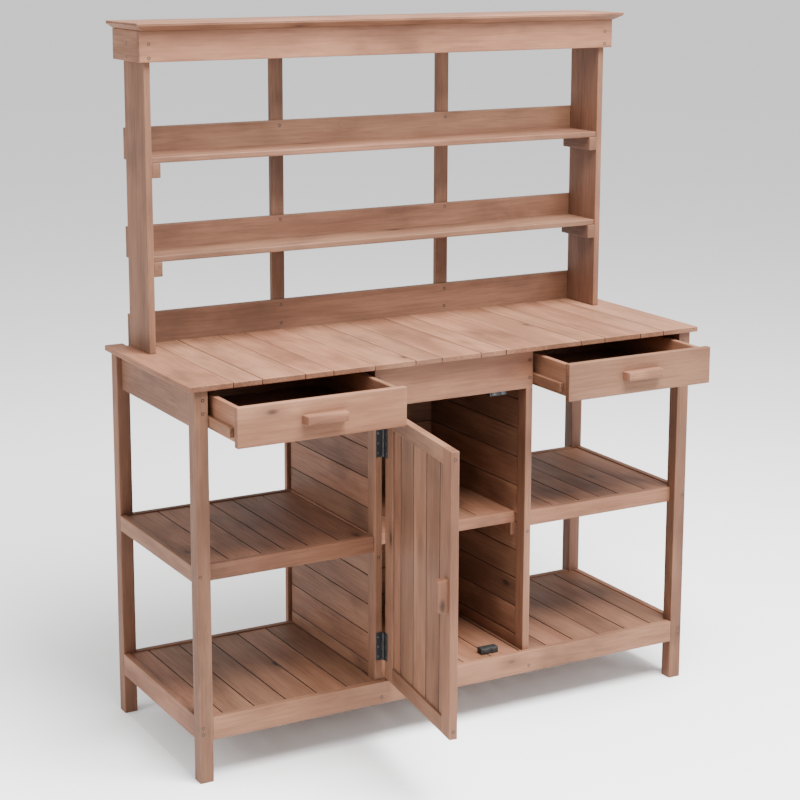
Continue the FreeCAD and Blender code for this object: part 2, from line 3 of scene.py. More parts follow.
import bpy
import numpy as np
from bpy.props import FloatProperty, FloatVectorProperty, PointerProperty
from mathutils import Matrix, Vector


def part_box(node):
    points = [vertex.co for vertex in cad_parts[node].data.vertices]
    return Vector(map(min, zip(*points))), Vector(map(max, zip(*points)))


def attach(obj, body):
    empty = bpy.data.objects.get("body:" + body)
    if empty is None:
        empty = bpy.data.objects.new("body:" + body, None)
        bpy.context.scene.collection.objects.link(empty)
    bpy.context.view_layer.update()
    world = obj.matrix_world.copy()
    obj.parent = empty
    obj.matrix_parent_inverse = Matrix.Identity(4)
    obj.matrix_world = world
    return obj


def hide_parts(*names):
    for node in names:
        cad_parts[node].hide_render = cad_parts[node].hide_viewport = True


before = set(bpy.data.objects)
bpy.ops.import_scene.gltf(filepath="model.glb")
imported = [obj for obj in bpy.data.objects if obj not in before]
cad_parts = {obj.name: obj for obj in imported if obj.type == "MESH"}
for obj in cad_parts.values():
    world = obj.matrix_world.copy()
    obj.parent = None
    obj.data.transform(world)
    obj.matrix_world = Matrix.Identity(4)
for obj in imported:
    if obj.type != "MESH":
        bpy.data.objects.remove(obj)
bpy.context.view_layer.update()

bl_info = {
    "name": "Potting bench",
    "version": (1, 0, 0),
    "blender": (4, 5, 0),
    "location": "3D View > Sidebar > Bench",
    "description": "Builds the visible surfaces of a wooden potting bench over its working model",
    "category": "Object",
}

X, Y, Z = 0, 1, 2


# ---- properties

def length(name, description, default):
    """A length in metres."""
    return FloatProperty(name=name, description=description, default=default, unit="LENGTH")


def angle(name, description, degrees):
    """An angle, given here in degrees."""
    return FloatProperty(name=name, description=description, default=math.radians(degrees), subtype="ANGLE")


def amount(name, description, default):
    """A plain number."""
    return FloatProperty(name=name, description=description, default=default)


def colour(name, description, default):
    """A colour with no alpha."""
    return FloatVectorProperty(name=name, description=description, default=default, subtype="COLOR",
                               min=0, max=1)


class BenchWood(bpy.types.PropertyGroup):
    """Sizes and colours of the timber."""
    edge: length("Edge", "Radius of the eased edges", 0.0011)
    wear: length("Wear", "How far wear reaches in from an edge", 0.005)
    seat: length("Seat", "How much neighbouring boards differ in level", 0.0005)
    light: colour("Light", "Light bands of the wood", (0.205, 0.094, 0.053))
    middle: colour("Middle", "Main colour of the wood", (0.136, 0.057, 0.030))
    dark: colour("Dark", "Dark grain lines", (0.056, 0.021, 0.010))
    knot: colour("Knot", "Heart of a knot", (0.020, 0.007, 0.004))
    # The colour below is painted shade: boards' edges beside a joint take it, where shade falls into the gap.
    seam: colour("Seam", "Dirt between boards", (0.010, 0.004, 0.003))


class BenchBoards(bpy.types.PropertyGroup):
    """Widths that the boards and rails are cut to."""
    top_wide: length("Wide board", "Wide worktop board", 0.1)
    shelf_board: length("Shelf board", "Board of the bottom shelf", 0.0753)
    first_board: length("First board", "Leftmost board of the bottom shelf", 0.047)
    side_board: length("Side board", "Wide board of a side shelf", 0.076)
    wall_board: length("Wall board", "Board of the cupboard's walls", 0.068)
    rail: length("Rail", "Thickness of rails and aprons", 0.015)
    shelf: length("Shelf", "Thickness of shelf boards", 0.012)
    batten: length("Batten", "Thickness of battens", 0.018)
    cleat: length("Cleat", "Width of shelf cleats", 0.02)
    slat: length("Slat", "Width of the hutch's back slats", 0.032)
    back_post: length("Back post", "Width of the cupboard's back posts", 0.044)
    runner: length("Runner", "Width of a drawer runner", 0.0105)
    top_gap: length("Top gap", "Gap between worktop boards", 0.0007)
    shelf_gap: length("Shelf gap", "Gap between shelf boards", 0.0018)
    wall_gap: length("Wall gap", "Gap between the cupboard's wall boards", 0.0010)
    wall_line: length("Wall line", "Height of the lowest joint in the cupboard's walls", 0.172)
    wall_narrow: length("Wall narrow", "Narrow wall board at the cupboard's shelf", 0.019)
    strip: length("Strip", "Depth of the strip along the cupboard shelf's front", 0.016)
    thin_cleat: length("Thin cleat", "Width of the cleats under the cupboard's shelf", 0.010)
    tall_cleat: length("Tall cleat", "Height of the cleats under the hutch's shelves", 0.032)
    corner: length("Corner", "Width of the tabs at the worktop's back corners", 0.043)
    screw_rise: length("Screw rise", "How far screw heads stand out of a back leg", 0.0002)
    bevel: length("Bevel", "How far the cap's lower edge slopes in", 0.017)
    rise: length("Rise", "Height of the cap's slope", 0.011)


class BenchDoor(bpy.types.PropertyGroup):
    """The door, measured while shut, from the middle of the worktop's front edge at floor level."""
    half: length("Half width", "Half of the door's width", 0.183)
    bottom: length("Bottom", "Height of the lower edge", 0.150)
    top: length("Top", "Height of the upper edge", 0.762)
    front: length("Front", "Outer face", 0.025)
    thickness: length("Thickness", "Frame thickness", 0.018)
    stile: length("Stile", "Stile width", 0.042)
    rail: length("Rail", "Rail height", 0.035)
    recess: length("Recess", "Depth of the boards' face", 0.005)
    board: length("Board", "Board thickness", 0.009)
    first: length("First board", "Board by the hinges", 0.039)
    pitch: length("Pitch", "Width of the other boards", 0.072)
    bar_low: length("Bar low", "Lower end of the handle", 0.420)
    bar_high: length("Bar high", "Upper end of the handle", 0.492)
    bar_width: length("Bar width", "Width of the handle", 0.019)
    bar_reach: length("Bar reach", "How far the handle stands out", 0.022)
    bar_slope: length("Bar slope", "How far a handle's ends slope in", 0.003)
    groove: length("Groove", "Gap between the door's boards", 0.0022)
    groove_depth: length("Groove depth", "How deep the grooves are", 0.003)
    hinge_x: length("Hinge X", "Pin line", -0.18475)
    hinge_y: length("Hinge Y", "Pin line", 0.0216)
    open: angle("Open", "How far the door stands open", 98)


class BenchHardware(bpy.types.PropertyGroup):
    """Hinges, catches and screws."""
    hinge_low: length("Lower hinge", "Height of the lower hinge's middle", 0.224)
    hinge_high: length("Upper hinge", "Height of the upper hinge's middle", 0.690)
    leaf_length: length("Leaf length", "Height of a hinge leaf", 0.064)
    leaf_thickness: length("Leaf thickness", "Thickness of a hinge leaf", 0.0016)
    leaf_near: length("Leaf near", "Where a leaf's flat part starts, from the pin", 0.0037)
    leaf_far: length("Leaf far", "Where a leaf ends, from the pin", 0.0174)
    leaf_root: length("Leaf root", "Width of the part that joins a leaf to its knuckle", 0.0045)
    knuckle: length("Knuckle", "Radius of a hinge's knuckles", 0.0034)
    knuckle_gap: length("Knuckle gap", "Gap at each end of a knuckle", 0.0002)
    pin: length("Pin", "Radius of a hinge pin", 0.0015)
    hole_reach: length("Hole reach", "Distance of a hinge's screws from the pin", 0.0118)
    hole_step: length("Hole step", "Distance between a hinge's screws", 0.022)
    catch_width: length("Catch width", "Width of a catch", 0.045)
    catch_height: length("Catch height", "Height of a catch", 0.014)
    catch_depth: length("Catch depth", "Depth of a catch, from its poles' faces", 0.021)
    catch_gap: length("Catch gap", "Gap between the shut door and the poles", 0.0015)
    pole_width: length("Pole width", "Width of a pole", 0.012)
    pole_reach: length("Pole reach", "Distance of a pole from the catch's middle", 0.011)
    inset: length("Inset", "How much smaller poles and plates are than their case", 0.002)
    screw: length("Screw", "Radius of a wood screw's head", 0.0038)


class BenchStage(bpy.types.PropertyGroup):
    """Camera and light."""
    place: FloatVectorProperty(name="Place", description="Where the camera stands", subtype="TRANSLATION",
                               default=(-2.1497, -3.5768, 1.7720))
    azimuth: angle("Azimuth", "How far the camera is turned", -28.774)
    elevation: angle("Elevation", "How far the camera looks down", 10.848)
    lens: amount("Lens", "Focal length in millimetres", 86.33)
    shift_x: amount("Shift X", "Sideways shift of the picture", 0.0329)
    shift_y: amount("Shift Y", "Upward shift of the picture", -0.12)
    key: amount("Key", "Strength of the main light", 640)
    fill: amount("Fill", "Strength of the fill light", 60)
    side: amount("Side", "Strength of the light from the left", 50)
    sky: amount("Sky", "Brightness of the surroundings", 1.05)


# ---- geometry

SMALLEST_BOARD = 0.004  # a rest narrower than this is not worth another board
SHARP = math.radians(50)  # edges sharper than this are not shaded smooth
SPREAD = 40  # how far apart two boards lie in the grain pattern, so that no two look alike
# What a surface tells the wood at each point: its board's shade, and how far it is worn, an end of
# a board, or beside a joint, where painted shade darkens it.
LAYERS = ("tone", "worn", "cap", "seam")
RIM = np.array([0.0, 0.12, 0.45, 1.0])  # where the rings of an eased end stand, in edge radii


def origin():
    """Middle of the worktop's front edge, at floor level: what the door's sizes are measured from."""
    low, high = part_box("worktop_middle")
    return np.array([(low.x + high.x) / 2, low.y, 0.0])


def box_of(node):
    """One row (low x, high x, low y, high y, low z, high z) for a CAD node."""
    low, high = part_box(node)
    return np.array([low.x, high.x, low.y, high.y, low.z, high.z])


def cut(row, axis, widths, gap=0.0012):
    """Rows of boards of these widths laid side by side along an axis, with a gap at each joint."""
    lines = row[2 * axis] + np.concatenate([[0.0], np.cumsum(widths)])
    rows = np.repeat(row[None, :], len(widths), axis=0)
    rows[:, 2 * axis] = lines[:-1] + gap / 2
    rows[:, 2 * axis + 1] = lines[1:] - gap / 2
    rows[0, 2 * axis] = row[2 * axis]
    rows[-1, 2 * axis + 1] = row[2 * axis + 1]
    return rows


def fill(row, axis, first, pitch):
    """Widths of a first board, then boards of one pitch, then what is left."""
    rest = row[2 * axis + 1] - row[2 * axis] - first
    count = int((rest - SMALLEST_BOARD) / pitch)
    return np.array([first] + [pitch] * count + [rest - count * pitch])


def ends(row, axis, width):
    """The two pieces of one width at both ends of a row along an axis."""
    rows = np.stack([row, row])
    rows[0, 2 * axis + 1] = row[2 * axis] + width
    rows[1, 2 * axis] = row[2 * axis + 1] - width
    return rows


def span(row, axis, low=None, high=None):
    """A copy of a row with new limits along one axis."""
    new = row.copy()
    if low is not None:
        new[2 * axis] = low
    if high is not None:
        new[2 * axis + 1] = high
    return new


def profile_coefficients():
    """
    Coefficients of a rounded rectangle's outline, anticlockwise. Each outline point is
    (half width, half height) times the first pair, plus radius times the second pair, plus the
    wear distance times the third pair. One side is worked out and turned a quarter three times.
    """
    third = 0.33
    corner = math.cos(math.radians(45)) - 1
    side = [
        ((1, -1), (0, 1), (0, 0)),
        ((1, -1), (0, 0), (0, 1)),
        ((1, -third), (0, 0), (0, 0)),
        ((1, third), (0, 0), (0, 0)),
        ((1, 1), (0, 0), (0, -1)),
        ((1, 1), (0, -1), (0, 0)),
        ((1, 1), (corner, corner), (0, 0)),
    ]
    table = np.array(side, dtype=float)
    sides = []
    for _ in range(4):
        sides.append(table)
        table = np.stack([-table[..., 1], table[..., 0]], axis=-1)
    return np.concatenate(sides)


PROFILE = profile_coefficients()


def blocks(rows, edge, wear, seed, loose=0.0, inner=8, grain=None, joint=None, shades=(0.0, 1.0)):
    """
    Boards with eased edges, as one closed surface each. A board is a rounded-rectangle outline
    carried along its longest side, P(u, v) = centre + u * along + outline(v) shrunk by
    r - sqrt(r^2 - (r - d)^2), where d is the distance to the nearer end and r the edge radius.
    Returns the points, the quads, the end faces and the arrays that the wood material reads.
    """
    rows = np.atleast_2d(rows)
    rng = np.random.default_rng(seed)
    low, high = rows[:, 0::2].copy(), rows[:, 1::2].copy()
    if loose:
        slack = rng.random((len(rows), 3)) * loose
        high[:, Z] -= slack[:, Z]
        low[:, Y] += slack[:, Y] * 1.5
    size = high - low
    along = np.argmax(size, axis=1) if grain is None else np.full(len(rows), grain)
    # The two cross axes are in the order that keeps every board's outline anticlockwise.
    cross = np.stack([(along + 1) % 3, (along + 2) % 3], axis=1)
    length = np.take_along_axis(size, along[:, None], 1)
    half = np.take_along_axis(size, cross, 1) / 2
    radius = np.minimum(edge, half.min(axis=1, keepdims=True) * 0.8)
    reach = np.minimum(wear, half * 0.6)
    near = radius * RIM
    near = np.concatenate([near, np.minimum(wear, length * 0.2)], axis=1)
    middle = np.linspace(0, 1, inner + 2)[None, 1:-1]
    middle = near[:, -1:] + (length - 2 * near[:, -1:]) * middle
    place = np.concatenate([near, middle, length - near[:, ::-1]], axis=1)
    distance = np.minimum(place, length - place)
    short = np.clip(radius - distance, 0, None)
    inset = radius - np.sqrt(radius ** 2 - short ** 2)
    shape = (half[:, None, None, :] - inset[:, :, None, None]) * PROFILE[None, None, :, 0]
    shape = shape + radius[:, None, None, :] * PROFILE[None, None, :, 1]
    shape = shape + reach[:, None, None, :] * PROFILE[None, None, :, 2]
    count, rings, points = shape.shape[:3]
    local = np.empty((count, rings, points, 3))
    local[..., 0] = place[:, :, None] - length[:, :, None] / 2
    local[..., 1:] = shape
    # Back from (along, across, across) to (x, y, z).
    axes = np.argsort(np.concatenate([along[:, None], cross], axis=1), axis=1)
    centre = (low + high) / 2
    world = np.take_along_axis(local, axes[:, None, None, :], axis=-1) + centre[:, None, None, :]
    # Distance to the nearest two faces tells how close a point is to an edge.
    full = np.concatenate([length, half * 2], axis=1)[:, None, None, :]
    depth = np.sort(full / 2 - np.abs(local), axis=-1)
    worn = np.clip(1 - depth[..., 1] / wear, 0, 1)
    # The same along the joint axis only, towards neighbouring boards, tells where the wood gets painted shade
    # from the gaps between boards.
    seam = np.zeros((count, rings, points))
    if joint is not None:
        below = world[..., joint] - low[:, None, None, joint]
        above = high[:, None, None, joint] - world[..., joint]
        below[0] = wear
        above[-1] = wear
        seam = np.clip(1 - np.minimum(below, above) / wear, 0, 1)
    offset = rng.random((count, 3)) * SPREAD
    shade = shades[0] + (shades[1] - shades[0]) * rng.random(count)
    cap = np.zeros((count, rings, points))
    cap[:, [0, -1]] = 1
    return surface(world, tube_faces(count, rings, points), local + offset[:, None, None, :],
                   tone=shade[:, None, None], worn=worn, cap=cap, seam=seam)


def surface(points, faces, grain, **layers):
    """The arrays of one surface. A layer that isn't given is zero all over it."""
    part = {"points": points.reshape(-1, 3), "faces": faces, "grain": grain.reshape(-1, 3)}
    for key in LAYERS:
        part[key] = np.broadcast_to(layers.get(key, 0.0), points.shape[:-1]).reshape(-1)
    return part


def tube_faces(tubes, rings, points):
    """Faces of closed tubes: a quad between neighbouring rings and points, and one face at each end."""
    start = (np.arange(tubes) * rings * points)[:, None, None]
    ring = (np.arange(rings - 1) * points)[None, :, None]
    step = np.arange(points)[None, None, :]
    following = (step + 1) % points
    quads = np.stack([start + ring + step, start + ring + following,
                      start + ring + points + following, start + ring + points + step], axis=-1)
    first = start[:, 0] + step[0, :, ::-1]
    last = start[:, 0] + (rings - 1) * points + step[0]
    return quads.reshape(-1, 4).tolist() + first.tolist() + last.tolist()


def stack(levels, axis, edge, seed, grain_axis=X, shade=0.6):
    """
    A block whose outline changes along an axis: each level is (place, low a, high a, low b,
    high b), and P(u, v) is the rounded rectangle of level u at outline angle v.
    """
    levels = np.array(levels, dtype=float)
    half = np.stack([levels[:, 2] - levels[:, 1], levels[:, 4] - levels[:, 3]], axis=1) / 2
    centre = np.stack([levels[:, 2] + levels[:, 1], levels[:, 4] + levels[:, 3]], axis=1) / 2
    reach = np.full((1, 2), edge * 3)
    outline = half[:, None, :] * PROFILE[None, :, 0] + edge * PROFILE[None, :, 1]
    outline = outline + reach[:, None, :] * PROFILE[None, :, 2] + centre[:, None, :]
    rings, points = outline.shape[:2]
    world = np.empty((rings, points, 3))
    world[..., axis] = levels[:, 0][:, None]
    world[..., (axis + 1) % 3] = outline[..., 0]
    world[..., (axis + 2) % 3] = outline[..., 1]
    rng = np.random.default_rng(seed)
    local = world - world.reshape(-1, 3).mean(axis=0)
    coordinate = np.roll(local, -grain_axis, axis=-1) + rng.random(3) * SPREAD
    rounded = np.abs(PROFILE[:, 1]).sum(axis=-1) > 0
    return surface(world, tube_faces(1, rings, points), coordinate, tone=shade, worn=rounded * 1.0)


def lathe(centre, way, outline, segments=24):
    """
    A turned piece: outline gives (distance from the axis, height along it), and P(u, v) is
    centre + height(u) * way + distance(u) * (cos v, sin v) across it. Both ends are closed faces.
    """
    way = np.array(way, dtype=float)
    side = np.cross(way, [0.0, 0.0, 1.0]) if abs(way[Z]) < 0.9 else np.array([1.0, 0.0, 0.0])
    side /= np.linalg.norm(side)
    other = np.cross(way, side)
    outline = np.array(outline, dtype=float)
    angle = np.linspace(0, 2 * math.pi, segments, endpoint=False)
    around = np.cos(angle)[:, None] * side + np.sin(angle)[:, None] * other
    points = np.array(centre) + outline[:, 1, None, None] * way + outline[:, 0, None, None] * around[None]
    flat = outline[:, 0, None, None] * np.stack([np.cos(angle), np.sin(angle), angle * 0], axis=-1)[None]
    return surface(points, tube_faces(1, len(outline), segments), flat)


def join(parts):
    """Several surfaces as one set of arrays."""
    starts = np.concatenate([[0], np.cumsum([len(part["points"]) for part in parts])])
    joined = {key: np.concatenate([part[key] for part in parts])
              for key in ("points", "grain", *LAYERS)}
    joined["faces"] = [[corner + int(start) for corner in face]
                       for part, start in zip(parts, starts) for face in part["faces"]]
    return joined


def pin_line(door):
    """Foot of the hinges' pin line, at floor level."""
    return origin() + np.array([door.hinge_x, door.hinge_y, 0.0])


def swing(part, door):
    """Turn a surface about the hinge's pin line, from the shut door to the open one."""
    pin = pin_line(door)
    cosine, sine = math.cos(-door.open), math.sin(-door.open)
    turn = np.array([[cosine, -sine, 0.0], [sine, cosine, 0.0], [0.0, 0.0, 1.0]])
    part["points"] = (part["points"] - pin) @ turn.T + pin
    return part


def piece(name, parts, body, material, nodes=()):
    """Make one object from surfaces, give it its material and let it ride on its body."""
    data = join(parts)
    mesh = bpy.data.meshes.new(name)
    mesh.from_pydata(data["points"].tolist(), [], data["faces"])
    if mesh.validate():
        raise RuntimeError(name + " has faces that don't hold together")
    grain = mesh.attributes.new("grain", "FLOAT_VECTOR", "POINT")
    grain.data.foreach_set("vector", data["grain"].astype(np.float32).reshape(-1))
    for key in LAYERS:
        layer = mesh.attributes.new(key, "FLOAT", "POINT")
        layer.data.foreach_set("value", data[key].astype(np.float32))
    mesh.shade_smooth()
    mesh.set_sharp_from_angle(angle=SHARP)
    mesh.materials.append(material)
    made = bpy.data.objects.new(name, mesh)
    bpy.context.scene.collection.objects.link(made)
    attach(made, body)
    if nodes:
        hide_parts(*nodes)
    return made


# ---- materials

class Nodes:
    """Short ways to add and join shader nodes."""

    def __init__(self, name):
        self.material = bpy.data.materials.new(name)
        self.material.use_nodes = True
        self.tree = self.material.node_tree
        self.tree.nodes.clear()

    def add(self, kind, values=None, **settings):
        node = self.tree.nodes.new("ShaderNode" + kind)
        for key, value in settings.items():
            setattr(node, key, value)
        for key, value in (values or {}).items():
            if isinstance(value, bpy.types.NodeSocket):
                self.tree.links.new(value, node.inputs[key])
            else:
                node.inputs[key].default_value = value
        return node

    def math(self, operation, first, second=0.0):
        return self.add("Math", {0: first, 1: second}, operation=operation).outputs[0]

    def times(self, first, second):
        return self.math("MULTIPLY", first, second)

    def plus(self, first, second):
        return self.math("ADD", first, second)

    def layer(self, name, output="Fac"):
        return self.add("Attribute", attribute_name=name).outputs[output]

    def mix(self, amount, first, second, blend="MIX"):
        node = self.add("Mix", {"Factor": amount}, data_type="RGBA", blend_type=blend)
        for socket, value in ((node.inputs[6], first), (node.inputs[7], second)):
            if isinstance(value, bpy.types.NodeSocket):
                self.tree.links.new(value, socket)
            else:
                socket.default_value = (*value, 1.0)
        return node.outputs[2]

    def ramp(self, value, low, high, start=0.0, end=1.0):
        return self.add("MapRange", {0: value, 1: low, 2: high, 3: start, 4: end},
                        interpolation_type="SMOOTHSTEP").outputs[0]

    def noise(self, coordinate, scale, detail=4.0, rough=0.55):
        return self.add("TexNoise", {"Vector": coordinate, "Scale": scale, "Detail": detail,
                                     "Roughness": rough}).outputs[0]

    def streaks(self, grain, along, across, detail, rough=0.55):
        """Noise with so many features in a metre along and across the grain."""
        return self.noise(self.stretch(grain, (along, across, across)), 1.0, detail, rough)

    def stretch(self, coordinate, factors, offset=(0.0, 0.0, 0.0)):
        return self.add("Mapping", {"Vector": coordinate, "Location": offset, "Scale": factors}).outputs[0]

    def surface(self, colour, roughness, height=None, strength=0.0, distance=0.0, metallic=0.0,
                specular=0.5):
        shader = self.add("BsdfPrincipled", {"Base Color": colour, "Roughness": roughness,
                                             "Metallic": metallic, "Specular IOR Level": specular})
        if height is not None:
            bump = self.add("Bump", {"Height": height, "Strength": strength, "Distance": distance})
            self.tree.links.new(bump.outputs[0], shader.inputs["Normal"])
        out = self.add("OutputMaterial")
        self.tree.links.new(shader.outputs[0], out.inputs[0])
        return self.material


def wood_material(name, wood, from_attribute=True, shade=1.0):
    """Stained softwood: soft bands, fine pores along the grain, a few knots, worn edges, and painted shade at
    the joints between boards.
    """
    n = Nodes(name)
    if from_attribute:
        grain = n.layer("grain", "Vector")
        tone, worn, cap, seam = [n.layer(key) for key in LAYERS]
    else:
        grain = n.add("TexCoord").outputs["Object"]
        tone, worn, cap, seam = 0.5, 0.0, 0.0, 0.0
    # Knots: cells much longer than wide, of which only the few nearest their centre show.
    cell = n.add("TexVoronoi", {"Vector": n.stretch(grain, (6.0, 14.0, 14.0)), "Scale": 1.0})
    chance = n.add("SeparateColor", {0: cell.outputs["Color"]}).outputs[0]
    kept = n.math("GREATER_THAN", chance, 0.50)
    near = n.times(n.ramp(cell.outputs["Distance"], 0.36, 0.04), kept)
    heart = n.times(n.ramp(cell.outputs["Distance"], 0.13, 0.04), kept)
    # Bands: the grain's cross coordinate, bent by slow noise and by the knots.
    slow = n.streaks(grain, 1.1, 7.0, 2.0)
    cross = n.add("SeparateXYZ", {0: grain})
    lines = n.plus(n.times(cross.outputs[1], 130.0), n.times(cross.outputs[2], 70.0))
    lines = n.plus(lines, n.times(slow, 9.0))
    lines = n.plus(lines, n.times(near, 2.5))
    band = n.math("ABSOLUTE", n.math("SUBTRACT", n.math("FRACT", lines), 0.5))
    late = n.ramp(band, 0.26, 0.5)
    fine = n.streaks(grain, 9.0, 300.0, 4.0, 0.65)
    pores = n.ramp(n.streaks(grain, 45.0, 1300.0, 2.0), 0.56, 0.74)
    patch = n.streaks(grain, 2.6, 16.0, 5.0, 0.62)
    stain = n.noise(n.stretch(grain, (5.0, 7.0, 7.0), (3.0, 1.0, 2.0)), 1.0, 3.0)
    colour = n.mix(n.ramp(patch, 0.34, 0.66), wood.middle, wood.light)
    darker = (
        n.times(late, n.ramp(stain, 0.3, 0.7, 0.04, 0.20)),
        n.times(n.ramp(fine, 0.42, 0.72), 0.26),
        n.times(pores, 0.22),
        n.ramp(stain, 0.50, 0.74, 0.0, 0.50),
        n.times(near, 0.45),
    )
    for part in darker:
        colour = n.mix(part, colour, wood.dark)
    colour = n.mix(n.times(heart, 0.85), colour, wood.knot)
    # Each board has its own shade, and ends of boards are darker and blotchy.
    level = n.times(n.ramp(tone, 0.0, 1.0, 0.74, 1.16), shade)
    green = n.times(level, n.ramp(n.math("FRACT", n.times(tone, 7.0)), 0.0, 1.0, 0.96, 1.04))
    colour = n.mix(1.0, colour, n.add("CombineColor", {0: level, 1: green, 2: green}).outputs[0], "MULTIPLY")
    blotch = n.noise(grain, 260.0, 3.0)
    colour = n.mix(n.times(cap, n.ramp(blotch, 0.35, 0.65, 0.25, 0.7)), colour, wood.dark)
    rub = n.times(n.ramp(worn, 0.55, 1.0), n.ramp(n.noise(grain, 34.0, 3.0), 0.35, 0.65, 0.15, 0.75))
    colour = n.mix(n.times(rub, 0.5), colour, wood.light)
    # Painted shade: the edges beside a joint go almost black, where shade falls into the gap between the
    # boards.
    painted_gap_shade = n.times(n.ramp(seam, 0.80, 0.96), n.ramp(n.noise(grain, 60.0, 2.0), 0.3, 0.6, 0.8, 1.0))
    colour = n.mix(painted_gap_shade, colour, wood.seam)
    height = n.plus(n.times(fine, 0.5), n.times(late, 0.15))
    height = n.math("SUBTRACT", height, n.times(pores, 0.6))
    height = n.math("SUBTRACT", height, n.times(heart, 0.5))
    rough = n.ramp(fine, 0.2, 0.8, 0.52, 0.74)
    return n.surface(colour, rough, height, strength=0.3, distance=0.0004, specular=0.3)


def metal_material(name, colour, dark, rough, metallic=0.0):
    """Painted or plated steel with fine speckle and rubbed patches."""
    n = Nodes(name)
    grain = n.layer("grain", "Vector")
    speckle = n.noise(grain, 1080.0, 3.0)
    patch = n.noise(grain, 180.0, 4.0, 0.6)
    tint = n.mix(n.ramp(patch, 0.35, 0.7), colour, dark)
    roughness = n.ramp(patch, 0.3, 0.7, rough, min(rough + 0.2, 1.0))
    return n.surface(tint, roughness, speckle, strength=0.15, distance=0.0001, metallic=metallic)


def screw_material(name, head, stained, gap):
    """A blotchy screw head with a cross recess; painted shade darkens the recess and a painted shadow rings
    the head.
    """
    n = Nodes(name)
    grain = n.layer("grain", "Vector")
    flat = n.add("SeparateXYZ", {0: grain})
    reach = n.add("VectorMath", {0: grain}, operation="LENGTH").outputs["Value"]
    across = n.math("ABSOLUTE", flat.outputs[0])
    up = n.math("ABSOLUTE", flat.outputs[1])
    arm = n.math("LESS_THAN", n.math("MINIMUM", across, up), 0.00045)
    cross = n.times(arm, n.math("LESS_THAN", reach, 0.0019))
    colour = n.mix(n.noise(grain, 900.0, 3.0), head, stained)
    # Painted shade in the cross recess, and below it a painted shadow in the gap round the head.
    colour = n.mix(cross, colour, gap)
    colour = n.mix(n.ramp(reach, 0.0028, 0.0032), colour, gap)
    rough = n.ramp(n.noise(grain, 1500.0), 0.3, 0.7, 0.35, 0.6)
    return n.surface(colour, rough, cross, strength=0.5, distance=0.0003, metallic=0.2)


def material(name):
    """A material by name, made by the paints operator."""
    return bpy.data.materials[name]


# ---- operators

def timber(node, parts, ending="_timber", body="bench"):
    """A wooden piece, named after the CAD node that it stands for."""
    return piece(node + ending, parts, body, material("bench_wood"), [node])


def boards(rows, seed, loose=0.0, inner=8, grain=None, joint=None, shades=(0.2, 0.9)):
    """Boards with the timber's own edge radius and wear."""
    wood = bpy.context.scene.bench_wood
    return blocks(rows, wood.edge, wood.wear, seed, loose, inner, grain, joint, shades)


class BENCH_OT_paints(bpy.types.Operator):
    """Mix the wood, metal and plastic materials"""
    bl_idname = "bench.paints"
    bl_label = "Materials"

    def execute(self, context):
        wood = context.scene.bench_wood
        wood_material("bench_wood", wood)
        wood_material("bench_hidden_wood", wood, from_attribute=False, shade=0.8)
        metal_material("bench_black_steel", (0.006, 0.006, 0.007), (0.012, 0.011, 0.011), 0.42, 0.0)
        metal_material("bench_grey_steel", (0.12, 0.12, 0.12), (0.06, 0.06, 0.065), 0.35, 0.9)
        metal_material("bench_silver", (0.07, 0.07, 0.07), (0.04, 0.04, 0.042), 0.35, 0.9)
        metal_material("bench_black_plastic", (0.006, 0.006, 0.006), (0.011, 0.011, 0.011), 0.5, 0.0)
        # The screws' last colour is painted shade, for their recesses and the shadow round their heads.
        screw_material("bench_screw", (0.016, 0.010, 0.007), (0.009, 0.006, 0.004), (0.003, 0.002, 0.002))
        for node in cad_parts.values():
            for holder in node.material_slots:
                holder.material = material("bench_hidden_wood")
        return {"FINISHED"}


class BENCH_OT_frame(bpy.types.Operator):
    """Build the legs, posts, rails and aprons of the base"""
    bl_idname = "bench.frame"
    bl_label = "Legs, posts and rails"

    def execute(self, context):
        sizes = context.scene.bench_boards
        seed = 100
        for node in ("leg_front_left", "leg_front_right", "leg_back_left", "leg_back_right", "back_apron",
                     "centre_panel", "bottom_rail_front", "bottom_rail_back", "cabinet_top_rail"):
            seed += 1
            row = box_of(node)
            if node.startswith("leg_back"):
                row[3] -= sizes.screw_rise
            # Painted shade: the legs get the darkest tones, for the shadow of the worktop's overhang on them.
            shades = (0.0, 0.2) if node.startswith("leg") else (0.4, 0.8)
            timber(node, [boards(row, seed, shades=shades)])
        for node, width in (("side_aprons", sizes.rail), ("bottom_side_rails", sizes.rail),
                            ("cabinet_back_posts", sizes.back_post)):
            seed += 1
            timber(node, [boards(ends(box_of(node), X, width), seed)])
        panel = box_of("centre_panel")
        for node in ("cabinet_post_left", "cabinet_post_right"):
            seed += 1
            post = box_of(node)
            lower = span(post, Z, high=panel[4])
            upper = span(span(post, Z, low=panel[4]), Y, low=panel[3])
            timber(node, [boards(np.stack([lower, upper]), seed)])
        return {"FINISHED"}


class BENCH_OT_worktop(bpy.types.Operator):
    """Build the three boarded sections of the worktop"""
    bl_idname = "bench.worktop"
    bl_label = "Worktop"

    def execute(self, context):
        sizes = context.scene.bench_boards
        seat = context.scene.bench_wood.seat
        wide = sizes.top_wide
        back = box_of("worktop_middle")[3]
        for index, name in enumerate(("left", "middle", "right")):
            node = "worktop_" + name
            row = box_of(node)
            narrow = (row[1] - row[0] - 3 * wide) / 2
            rows = cut(span(row, Y, high=back), X, [wide, narrow, wide, narrow, wide], sizes.top_gap)
            parts = [boards(rows, 200 + index, seat, grain=Y, joint=X, shades=(0.5, 1.0))]
            if name != "middle":
                tabs = ends(span(row, Y, low=back), X, sizes.corner)
                parts.append(boards(tabs[0 if name == "left" else 1], 210 + index, grain=Y))
            timber(node, parts, "_boards")
        return {"FINISHED"}


